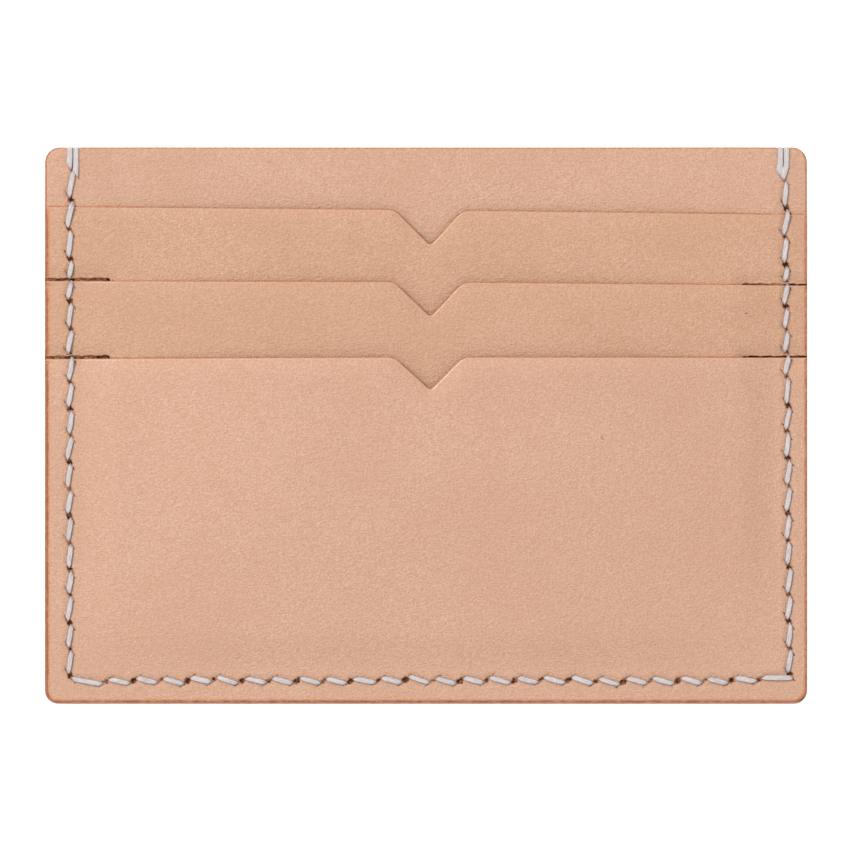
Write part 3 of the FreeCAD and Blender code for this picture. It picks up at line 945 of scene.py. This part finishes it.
def tube(centres, across, depths, creases):
    """A tube of flattened thread round a line, as vertices, faces and fibre places.

    Each point of the line has a section, which is spanned by its across, which is level, and by
    the direction at right angles to that and to the line. The plies meet at its crease."""
    tangents = np.gradient(centres, axis=0)
    normals = np.cross(tangents, across)
    normals /= np.linalg.norm(normals, axis=1)[:, None]
    steps = np.linalg.norm(np.diff(centres, axis=0), axis=1)
    along = np.concatenate([[0.0], np.cumsum(steps)])
    angles = np.arange(THREAD_SIDES) * 2.0 * math.pi / THREAD_SIDES
    flat = np.sign(np.cos(angles)) * np.abs(np.cos(angles)) ** 0.8
    thick = np.sign(np.sin(angles)) * np.abs(np.sin(angles)) ** 0.6
    vertices = []
    fibres = []
    for index, centre in enumerate(centres):
        crease = bell((flat - creases[index]) / 0.16)
        uneven = 1.0 + 0.03 * np.sin(along[index] * 4.7) + 0.02 * np.sin(along[index] * 9.1)
        height = depths[index] / 2.0 * thick * (1.0 - 0.22 * crease)
        ring = centre + across[index] * (flat * uneven)[:, None]
        vertices.append(ring + normals[index] * height[:, None])
        fibres.append(np.column_stack([flat, thick, np.full(THREAD_SIDES, along[index])]))
    rings = np.arange(len(centres) * THREAD_SIDES).reshape(-1, THREAD_SIDES)
    faces = [face for first, second in zip(rings, rings[1:]) for face in band(first, second)]
    faces += [rings[0].tolist(), rings[-1].tolist()]
    return np.concatenate(vertices), faces, np.concatenate(fibres)


def strand_tube(holes, first_in_front, top, bottom):
    """One strand of a saddle stitch through all the holes, as one long tube.

    top and bottom give the heights of the two leather surfaces that it lies on."""
    runs = []
    in_front = first_in_front
    for before, after in zip(holes, holes[1:]):
        if in_front:
            runs.append(thread_run(before, after, +1, top, THREAD_WIDTH))
        else:
            runs.append(thread_run(before, after, -1, bottom, BACK_THREAD_WIDTH))
        in_front = not in_front
    return tube(*(np.concatenate(parts) for parts in zip(*runs)))


def wrap_tube(hole, side, foot_place, top, bottom):
    """Thread from a top hole, over the top edge and down the back to the same hole.

    side is -1 for the left one of the two wraps and +1 for the right one. Its end on the
    front lies along the slit, foot_place from the slit's middle, counted down to the right."""
    slit = hole.run if hole.run[1] < 0.0 else -hole.run
    foot_x, foot = hole.middle + slit * foot_place
    x = hole.middle[0] + side * WRAP_SPACING
    front = float(top(np.array([x]), np.array([foot]))[0])
    back = float(bottom(np.array([x]), np.array([foot]))[0])
    lift = THREAD_LIFT
    over = lift - WRAP_BITE
    radius = 0.35
    edge = HALF_HEIGHT
    rows = []
    for rise, height in (
        (0.0, -0.45), (0.03, -0.25), (0.08, -0.08), (0.18, 0.06), (0.36, 0.14), (0.8, 0.16),
        (1.4, 0.10), (2.0, lift),
    ):
        rows.append((foot_x + (x - foot_x) * smoothstep(rise / 1.6), foot + rise, front + height))
    turns = np.radians([0.0, 20.0, 45.0, 70.0, 90.0])
    for turn in turns:
        up = edge - radius + (radius + over) * math.sin(turn)
        rows.append((x, up, front - radius + (radius + lift) * math.cos(turn)))
    for turn in turns[::-1]:
        up = edge - radius + (radius + over) * math.sin(turn)
        rows.append((x, up, back + radius - (radius + lift) * math.cos(turn)))
    rows += [(x, foot + 1.0, back - lift), (x, foot + 0.4, back - lift)]
    rows += [(foot_x, foot + 0.1, back + 0.15), (foot_x, foot, back + 0.45)]
    centres = np.array(rows)
    on_front = centres[:, 2] > (front + back) / 2.0
    leaning = 1.0 - smoothstep((centres[:, 1] - foot - 0.5) / 1.1)
    slants = np.where(on_front, leaning, 0.0) * slit[1] / slit[0]
    half = np.where(on_front, WRAP_WIDTH, BACK_THREAD_WIDTH * 1.3) * 0.5
    across = np.column_stack([half, half * slants, np.zeros(len(rows))])
    return tube(
        centres, across, np.full(len(rows), THREAD_DEPTH), np.full(len(rows), -0.25 * side)
    )


def thread_piece(name, tubes):
    vertices, faces, fibres = [], [], []
    start = 0
    for tube_vertices, tube_faces, tube_fibres in tubes:
        vertices.append(tube_vertices)
        fibres.append(tube_fibres)
        faces.extend([start + corner for corner in face] for face in tube_faces)
        start += len(tube_vertices)
    attributes = {"fibre": ("FLOAT_VECTOR", np.concatenate(fibres))}
    piece = make_mesh(name + "_plies", np.concatenate(vertices), faces, attributes)
    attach(piece, "root")
    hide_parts(name)
    return piece


# ---- materials

# Leather of the centre panel and front pocket, and the slightly redder hide of the T pockets
FRONT_PALE = (0.458, 0.287, 0.204)
FRONT_DEEP = (0.431, 0.259, 0.180)
STRIP_PALE = (0.444, 0.271, 0.182)
STRIP_DEEP = (0.408, 0.238, 0.154)

# What the painted shade in the grain's hollows and fine flecks, and the reddish patches, take off
# the deep colour
HOLLOW_SHADE = (0.88, 0.80, 0.72)
REDDISH_SHADE = (1.0, 0.86, 0.76)

# Burnished edges; colours of the painted shade in the awl slits and in the gaps under the ears; and
# thread, whose edge colour is painted shade
EDGE_PALE = (0.385, 0.142, 0.056)
EDGE_DEEP = (0.215, 0.066, 0.026)
SLIT_PALE = (0.200, 0.072, 0.030)
SLIT_DEEP = (0.040, 0.013, 0.006)
THREAD_PALE = (0.490, 0.452, 0.452)
THREAD_DEEP = (0.285, 0.250, 0.252)
THREAD_EDGE_SHADE = (0.170, 0.118, 0.100)

# Noises: scale, detail, roughness and, for the creases, distortion
CLOUDS = (55.0, 4.0, 0.6)
REDDISH_PATCHES = (130.0, 3.0, 0.7)
RAGGED_EDGE = (1400.0, 3.0, 0.7)
CRUMBLED_SLIT = (2300.0, 3.0, 0.7)
CREASES = (2900.0, 2.0, 0.6, 0.9)
FINE_GRAIN = (4200.0, 3.0, 0.7)
FLECKS = (5200.0, 2.0, 0.7)
THREAD_STREAKS = (2.4, 3.0, 0.7)
GRAIN_CELLS = 3000.0
CREASE_STRETCH = (0.5, 1.5, 1.0)
STREAK_STRETCH = (3.4, 1.0, 0.45)

LEATHER_BUMP = 0.18 * MM
THREAD_BUMP = 0.08 * MM

# Small dark marks on the leather: x, y, turn in degrees, half length, half width and colour. The
# last front one darkens the rim at the lower right corner.
LOWER_POCKET_MARKS = ((42.6, 14.9, 20.0, 0.19, 0.15, SLIT_PALE),)
FRONT_POCKET_MARKS = (
    (23.4, -1.7, -58.0, 0.42, 0.07, SLIT_PALE),
    (-36.2, 4.3, 0.0, 0.08, 0.07, SLIT_PALE),
    (50.1, -36.35, 42.0, 0.46, 0.15, SLIT_DEEP),
)


class Look:
    """A new material, and short names for the kinds of node that it is made of."""

    def __init__(self, name):
        self.material = bpy.data.materials.new(name)
        self.material.use_nodes = True
        self.nodes = self.material.node_tree.nodes
        self.shader = self.nodes["Principled BSDF"]

    def give(self, socket, value):
        """Set a socket to a number or a colour, or link it to another node's output."""
        if isinstance(value, bpy.types.NodeSocket):
            self.material.node_tree.links.new(value, socket)
        elif socket.type == "RGBA":
            socket.default_value = (*value, 1.0)
        else:
            socket.default_value = value

    def node(self, kind, inputs):
        node = self.nodes.new("ShaderNode" + kind)
        for label, value in inputs.items():
            self.give(node.inputs[label], value)
        return node

    def attribute(self, label, output="Fac"):
        node = self.nodes.new("ShaderNodeAttribute")
        node.attribute_name = label
        return node.outputs[output]

    def noise(self, place, scale, detail, roughness, distortion=0.0):
        return self.node("TexNoise", {
            "Vector": place, "Scale": scale, "Detail": detail, "Roughness": roughness,
            "Distortion": distortion,
        }).outputs["Fac"]

    def ramp(self, value, low, high, low_value=0.0, high_value=1.0):
        """A smooth step: low_value where value is low, and high_value where it is high."""
        node = self.node("MapRange", {
            "Value": value, "From Min": low, "From Max": high,
            "To Min": low_value, "To Max": high_value,
        })
        node.interpolation_type = "SMOOTHSTEP"
        return node.outputs["Result"]

    def arithmetic(self, operation, first, second):
        node = self.nodes.new("ShaderNodeMath")
        node.operation = operation
        self.give(node.inputs[0], first)
        self.give(node.inputs[1], second)
        return node.outputs["Value"]

    def sum(self, first, second):
        return self.arithmetic("ADD", first, second)

    def product(self, first, second):
        return self.arithmetic("MULTIPLY", first, second)

    def shifted(self, source, shift, stretch=(1.0, 1.0, 1.0), turn=0.0):
        return self.node("Mapping", {
            "Vector": source, "Location": shift, "Scale": stretch, "Rotation": (0.0, 0.0, turn),
        }).outputs["Vector"]

    def mixed(self, factor, first, second):
        """A colour between two. A Mix node has sockets of every kind, all with shared names."""
        node = self.nodes.new("ShaderNodeMix")
        node.data_type = "RGBA"
        self.give(node.inputs[0], factor)
        sockets = [socket for socket in node.inputs if socket.type == "RGBA"]
        self.give(sockets[0], first)
        self.give(sockets[1], second)
        return [socket for socket in node.outputs if socket.type == "RGBA"][0]

    def spot(self, place, x, y, turn, half_length, half_width):
        """1 inside a small oval mark on the leather, in millimetres, and 0 outside it."""
        node = self.node("Mapping", {
            "Vector": place,
            "Location": (x * MM, y * MM, 0.0),
            "Rotation": (0.0, 0.0, math.radians(turn)),
            "Scale": (half_length * MM, half_width * MM, 1.0),
        })
        node.vector_type = "TEXTURE"
        length = self.nodes.new("ShaderNodeVectorMath")
        length.operation = "LENGTH"
        self.give(length.inputs[0], node.outputs["Vector"])
        return self.ramp(length.outputs["Value"], 0.5, 1.2, 1.0, 0.0)

    def bump(self, height, distance, strength):
        node = self.node("Bump", {"Height": height, "Distance": distance, "Strength": strength})
        self.give(self.shader.inputs["Normal"], node.outputs["Normal"])

    def finish(self, surface):
        """Set the shader's own inputs, and give back the material."""
        for label, value in surface.items():
            self.give(self.shader.inputs[label], value)
        return self.material


def leather_grain(look, place, grain_turn):
    """The height of the leather's grain: small rounded cells, pores and stretch creases."""
    fine = look.noise(place, *FINE_GRAIN)
    cells = look.node("TexVoronoi", {"Vector": place, "Scale": GRAIN_CELLS})
    cells.feature = "SMOOTH_F1"
    cells.inputs["Smoothness"].default_value = 0.5
    stretched = look.shifted(place, (0.0, 0.0, 0.0), CREASE_STRETCH, grain_turn)
    creases = look.noise(stretched, *CREASES)
    grain = look.sum(look.product(cells.outputs["Distance"], 0.7), fine)
    return look.sum(grain, look.product(creases, 1.5))


def hide_colour(look, place, grain, pale, deep):
    """The hide's colour: cloudy and reddish in patches, with painted shade in the grain's hollows
    and in fine flecks.
    """
    shaded, reddish = (
        tuple(channel * share for channel, share in zip(deep, shares))
        for shares in (HOLLOW_SHADE, REDDISH_SHADE)
    )
    colour = look.mixed(look.ramp(look.noise(place, *CLOUDS), 0.35, 0.68), pale, deep)
    # Painted shade: the grain's hollows and fine flecks are darkened towards the shaded colour.
    colour = look.mixed(look.ramp(grain, 1.75, 1.15, 0.0, 0.85), colour, shaded)
    colour = look.mixed(look.ramp(look.noise(place, *FLECKS), 0.36, 0.66), colour, shaded)
    patches = look.ramp(look.noise(place, *REDDISH_PATCHES), 0.60, 0.82, 0.0, 0.35)
    return look.mixed(patches, colour, reddish)


def leather_material(name, pale, deep, shift, grain_turn, marks):
    """Smooth natural leather: mottled, finely grained, with burnished edges, and painted shade in
    the grain, in the slits, in the gaps and beside the pocket edges.
    """
    look = Look(name)
    own_place = look.nodes.new("ShaderNodeTexCoord").outputs["Object"]
    place = look.shifted(own_place, shift)
    grain = leather_grain(look, place, grain_turn)
    colour = hide_colour(look, place, grain, pale, deep)

    ragged = look.ramp(look.noise(place, *RAGGED_EDGE), 0.25, 0.75, 0.70, 1.30)
    # This attribute holds the burnished edges and also the painted shade tint beside the pocket
    # edges.
    burnish_and_shade = look.product(look.attribute("burnish_and_shade"), ragged)
    edge_colour = look.mixed(look.ramp(burnish_and_shade, 0.45, 1.15), EDGE_PALE, EDGE_DEEP)
    colour = look.mixed(look.ramp(burnish_and_shade, 0.12, 0.62), colour, edge_colour)

    # Painted shade: the slits' cracks and gapes, and the gaps under the ears, are darkened towards
    # the slit colours.
    torn = look.ramp(look.noise(place, *CRUMBLED_SLIT), 0.30, 0.70, 0.35, 1.50)
    slit = look.product(look.attribute("slit"), torn)
    slit_colour = look.mixed(look.ramp(slit, 0.45, 1.0), SLIT_PALE, SLIT_DEEP)
    colour = look.mixed(look.ramp(slit, 0.10, 0.62), colour, slit_colour)
    for *mark, mark_colour in marks:
        colour = look.mixed(look.spot(own_place, *mark), colour, mark_colour)

    polish = look.attribute("polish")
    look.bump(grain, LEATHER_BUMP, look.ramp(polish, 0.1, 0.7, 0.55, 0.08))
    burnished = look.ramp(burnish_and_shade, 0.2, 0.9, 0.0, -0.16)
    polished = look.ramp(polish, 0.1, 0.8, 0.0, -0.34)
    rough = look.ramp(grain, 1.2, 1.9, 0.60, 0.50)
    dull = look.sum(slit, look.product(burnish_and_shade, 0.5))
    return look.finish({
        "Base Color": colour,
        "Roughness": look.sum(rough, look.sum(burnished, polished)),
        "Specular IOR Level": look.ramp(dull, 0.10, 0.80, 0.35, 0.06),
    })


def thread_material():
    """Flat waxed thread: pale, with fine streaks along its plies, and painted shade darkening its
    side edges.
    """
    look = Look("waxed_thread")
    fibre = look.attribute("fibre", "Vector")
    streaks = look.noise(
        look.shifted(fibre, (0.0, 0.0, 0.0), STREAK_STRETCH), *THREAD_STREAKS
    )
    colour = look.mixed(look.ramp(streaks, 0.32, 0.66), THREAD_DEEP, THREAD_PALE)
    split = look.node("SeparateXYZ", {"Vector": fibre})
    from_middle = look.arithmetic("ABSOLUTE", split.outputs["X"], 0.0)
    look.bump(streaks, THREAD_BUMP, 0.7)
    return look.finish({
        # Towards its side edges the thread's colour is darkened: painted shade.
        "Base Color": look.mixed(look.ramp(from_middle, 0.72, 1.0, 0.0, 0.75), colour, THREAD_EDGE_SHADE),
        "Roughness": 0.62,
        "Specular IOR Level": 0.3,
        "Sheen Weight": 0.15,
    })


# ---- the pieces

def build_leather():
    """Make the five sheets of leather, back to front, and give each its own piece of hide."""
    whole = full_outline()
    ears = ("lower_t_pocket_left_ear", "lower_t_pocket_right_ear")
    plain = (FRONT_PALE, FRONT_DEEP)
    redder = (STRIP_PALE, STRIP_DEEP)
    # name, outline, leather, detail on the upper and lower face, lowest place with detail, more
    # nodes, then colours, place on the hide, turn of the grain and marks
    for *sheet, colours, place, grain_turn, marks in (
        ("back_panel", whole, BACK_LEATHER, False, True, -HALF_HEIGHT, (),
         plain, (0.31, 0.12, 0.0), 0.5, ()),
        ("centre_panel", whole, CENTRE_LEATHER, True, False, FRONT_MOUTH.middle - 1.0, (),
         plain, (0.73, 0.41, 0.0), 0.9, ()),
        ("upper_t_pocket", UPPER_OUTLINE, TAB_LEATHER, True, False, LOWER_MOUTH.middle - 6.0, (),
         redder, (0.17, 0.83, 0.0), -0.5, ()),
        ("lower_t_pocket", LOWER_OUTLINE, TAB_LEATHER, True, False, FRONT_MOUTH.middle - 6.0, ears,
         redder, (0.57, 0.29, 0.0), 0.2, LOWER_POCKET_MARKS),
        ("front_pocket", FRONT_OUTLINE, FRONT_LEATHER, True, False, -HALF_HEIGHT, (),
         plain, (0.05, 0.66, 0.0), 1.2, FRONT_POCKET_MARKS),
    ):
        piece = leather_panel(*sheet)
        material = leather_material(piece.name, *colours, place, grain_turn, marks)
        piece.data.materials.append(material)


def seam_strand(first_in_front, wraps):
    """One strand of the long seam: a tube through the holes, and a turn over each top end."""
    back_face = LOWER_FACE["back_panel"]
    tubes = [strand_tube(RIM_HOLES, first_in_front, rim_top, back_face)]
    ends = ((RIM_HOLES[0], LEFT_WRAP_FEET), (RIM_HOLES[-1], RIGHT_WRAP_FEET))
    for (hole, feet), wrap in zip(ends, wraps):
        tubes.append(wrap_tube(hole, 2 * wrap - 1, feet[wrap], rim_top, back_face))
    return tubes


def stem_strand(end, panel):
    """The hidden strand that sews a T pocket's stem to the centre panel."""
    def top(x, y):
        return LOWER_FACE[panel](x, y) + TAB_LEATHER
    return [strand_tube(stem_holes(end), True, top, LOWER_FACE["centre_panel"])]


def build_threads():
    material = thread_material()
    # wraps: at the left and right top hole, 0 for the left one of the two turns, 1 for the right
    for name, tubes in (
        ("seam_thread_first_strand", seam_strand(True, (1, 0))),
        ("seam_thread_second_strand", seam_strand(False, (0, 1))),
        ("upper_pocket_thread", stem_strand(UPPER_STEM_END, "upper_t_pocket")),
        ("lower_pocket_thread", stem_strand(LOWER_STEM_END, "lower_t_pocket")),
    ):
        thread_piece(name, tubes).data.materials.append(material)


# ---- stage, light and camera

# The floor is a lit panel, so that the holder casts no shadow on it.
FLOOR_HALF_SIZE = 2.0
FLOOR_WHITE = (0.93, 0.93, 0.93)
FLOOR_GLOW = 0.42
WORLD_LIGHT = 1.12
KEY_PLACE = (-0.60, 0.52, 1.00)
KEY_SIZE = 0.66
KEY_POWER = 15.0

# The camera looks straight down from a little off the middle.
CAMERA_AT = (-0.12, 0.07)
VIEW_WIDTH = 113.2 * MM
LENS = 200.0
SENSOR = 36.0


def build_stage():
    size = FLOOR_HALF_SIZE
    corners = [(-size, -size, 0.0), (size, -size, 0.0), (size, size, 0.0), (-size, size, 0.0)]
    mesh = bpy.data.meshes.new("floor")
    mesh.from_pydata(corners, [], [(0, 1, 2, 3)])
    floor = bpy.data.objects.new("floor", mesh)
    bpy.context.scene.collection.objects.link(floor)
    mesh.materials.append(Look("floor_white").finish({
        "Base Color": FLOOR_WHITE,
        "Roughness": 0.9,
        "Specular IOR Level": 0.1,
        "Emission Color": (1.0, 1.0, 1.0),
        "Emission Strength": FLOOR_GLOW,
    }))


def build_light():
    world = bpy.data.worlds.new("studio")
    bpy.context.scene.world = world
    world.use_nodes = True
    background = world.node_tree.nodes["Background"]
    background.inputs["Color"].default_value = (1.0, 1.0, 1.0, 1.0)
    background.inputs["Strength"].default_value = WORLD_LIGHT
    data = bpy.data.lights.new("key", "AREA")
    data.shape = "SQUARE"
    data.size = KEY_SIZE
    data.energy = KEY_POWER
    light = bpy.data.objects.new("key", data)
    light.location = KEY_PLACE
    light.rotation_euler = (-Vector(KEY_PLACE)).to_track_quat("-Z", "Y").to_euler()
    bpy.context.scene.collection.objects.link(light)
    bpy.context.scene.view_settings.view_transform = "Standard"


def build_camera():
    data = bpy.data.cameras.new("camera")
    data.lens = LENS
    data.sensor_width = SENSOR
    data.clip_start = 0.01
    camera = bpy.data.objects.new("camera", data)
    height = LENS / SENSOR * VIEW_WIDTH + EAR_PLANE * MM
    camera.location = (CAMERA_AT[0] * MM, CAMERA_AT[1] * MM, height)
    bpy.context.scene.collection.objects.link(camera)
    bpy.context.scene.camera = camera


build_leather()
build_threads()
build_stage()
build_light()
build_camera()
